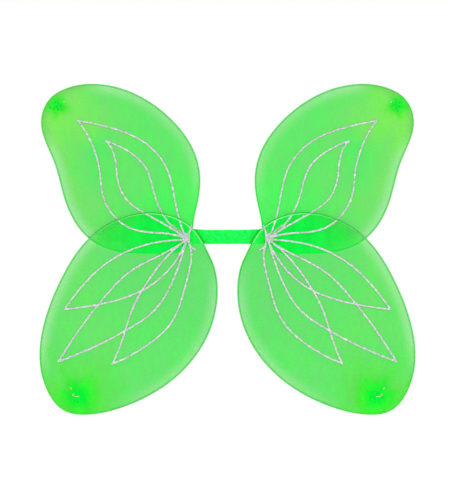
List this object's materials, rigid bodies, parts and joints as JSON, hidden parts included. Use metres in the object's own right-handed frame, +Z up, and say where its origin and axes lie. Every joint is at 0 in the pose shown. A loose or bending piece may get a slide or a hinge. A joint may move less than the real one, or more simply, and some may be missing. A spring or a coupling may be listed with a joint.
{
  "type": "fairy wings",
  "caption": "Dress-up fairy wings: sheer nylon stretched over wire loops with glitter leaf outlines, on a padded band with elastic shoulder loops.",
  "frame": {"origin": "centre of the back pad's rear face, which rests between the wearer's shoulder blades", "axes": "+X to the right of the decorated front, +Y towards the wearer, +Z up"},
  "size_m": [0.4998, 0.1672, 0.4402],
  "materials": {
    "green_nylon": "sheer knitted stocking nylon, satin",
    "green_band_fabric": "glitter-flecked satin knit, padded",
    "silver_glitter": "silver glitter in clear glue, raised",
    "green_coated_wire": "green-coated steel wire",
    "green_thread": "polyester thread",
    "pale_thread": "pale polyester thread",
    "silver_thread": "metallic thread",
    "green_elastic": "woven flat elastic",
    "felt_pad": "felt",
    "white_batting": "polyester batting",
    "soft_aluminium": "bendable flat strip"
  },
  "bodies": {
    "centre": {"back_pad": "felt_pad", "centre_sleeve": "green_band_fabric", "centre_batting": "white_batting", "centre_stay": "soft_aluminium", "sleeve_seam_stitches": "green_thread", "right_sleeve_fold": "green_band_fabric", "left_sleeve_fold": "green_band_fabric", "right_stay_bend": "soft_aluminium", "left_stay_bend": "soft_aluminium", "right_strap_root": "green_elastic", "left_strap_root": "green_elastic", "right_strap_tack": "green_thread", "left_strap_tack": "green_thread"},
    "right_arm": {"right_arm_sleeve": "green_band_fabric", "right_arm_batting": "white_batting", "right_arm_stay": "soft_aluminium", "right_end_stitches": "green_thread", "right_hub_tie": "silver_thread"},
    "right_strap": {"right_shoulder_strap": "green_elastic"},
    "right_upper_wing": {"right_upper_frame_wire": "green_coated_wire", "right_upper_wire_ferrule": "green_coated_wire", "right_upper_nylon_cover": "green_nylon", "right_upper_tip_tie": "pale_thread", "right_upper_glitter_veins": "silver_glitter"},
    "right_lower_wing": {"right_lower_frame_wire": "green_coated_wire", "right_lower_wire_ferrule": "green_coated_wire", "right_lower_nylon_cover": "green_nylon", "right_lower_tip_tie": "pale_thread", "right_lower_glitter_veins": "silver_glitter"},
    "left_arm": {"left_arm_sleeve": "green_band_fabric", "left_arm_batting": "white_batting", "left_arm_stay": "soft_aluminium", "left_end_stitches": "green_thread", "left_hub_tie": "silver_thread"},
    "left_strap": {"left_shoulder_strap": "green_elastic"},
    "left_upper_wing": {"left_upper_frame_wire": "green_coated_wire", "left_upper_wire_ferrule": "green_coated_wire", "left_upper_nylon_cover": "green_nylon", "left_upper_tip_tie": "pale_thread", "left_upper_glitter_veins": "silver_glitter"},
    "left_lower_wing": {"left_lower_frame_wire": "green_coated_wire", "left_lower_wire_ferrule": "green_coated_wire", "left_lower_nylon_cover": "green_nylon", "left_lower_tip_tie": "pale_thread", "left_lower_glitter_veins": "silver_glitter"}
  },
  "joints": [
    {"name": "left_fold", "type": "hinge", "parent": "centre", "child": "left_arm", "pos_m": [-0.02, -0.0055, 0], "axis": [0, 0, 1], "range_deg": [-25, 85], "deforming": ["left_sleeve_fold", "left_stay_bend"]},
    {"name": "right_fold", "type": "hinge", "parent": "centre", "child": "right_arm", "pos_m": [0.02, -0.0055, 0], "axis": [0, 0, -1], "range_deg": [-25, 85], "deforming": ["right_sleeve_fold", "right_stay_bend"]},
    {"name": "left_upper_fan", "type": "hinge", "parent": "left_arm", "child": "left_upper_wing", "pos_m": [-0.0537, -0.013, -0.0036], "axis": [0, 1, 0], "range_deg": [-8, 10]},
    {"name": "right_upper_fan", "type": "hinge", "parent": "right_arm", "child": "right_upper_wing", "pos_m": [0.0537, -0.013, -0.0036], "axis": [0, -1, 0], "range_deg": [-8, 10]},
    {"name": "left_lower_fan", "type": "hinge", "parent": "left_arm", "child": "left_lower_wing", "pos_m": [-0.0537, -0.013, -0.0036], "axis": [0, 1, 0], "range_deg": [-6, 12]},
    {"name": "right_lower_fan", "type": "hinge", "parent": "right_arm", "child": "right_lower_wing", "pos_m": [0.0537, -0.013, -0.0036], "axis": [0, -1, 0], "range_deg": [-6, 12]},
    {"name": "left_strap_flex", "type": "hinge", "parent": "centre", "child": "left_strap", "pos_m": [-0.013, 0.002, 0], "axis": [1, 0, 0], "range_deg": [-75, 75], "stiffness_Nm_per_rad": 0.02, "deforming": ["left_strap_root"]},
    {"name": "right_strap_flex", "type": "hinge", "parent": "centre", "child": "right_strap", "pos_m": [0.013, 0.002, 0], "axis": [1, 0, 0], "range_deg": [-75, 75], "stiffness_Nm_per_rad": 0.02, "deforming": ["right_strap_root"]}
  ]
}
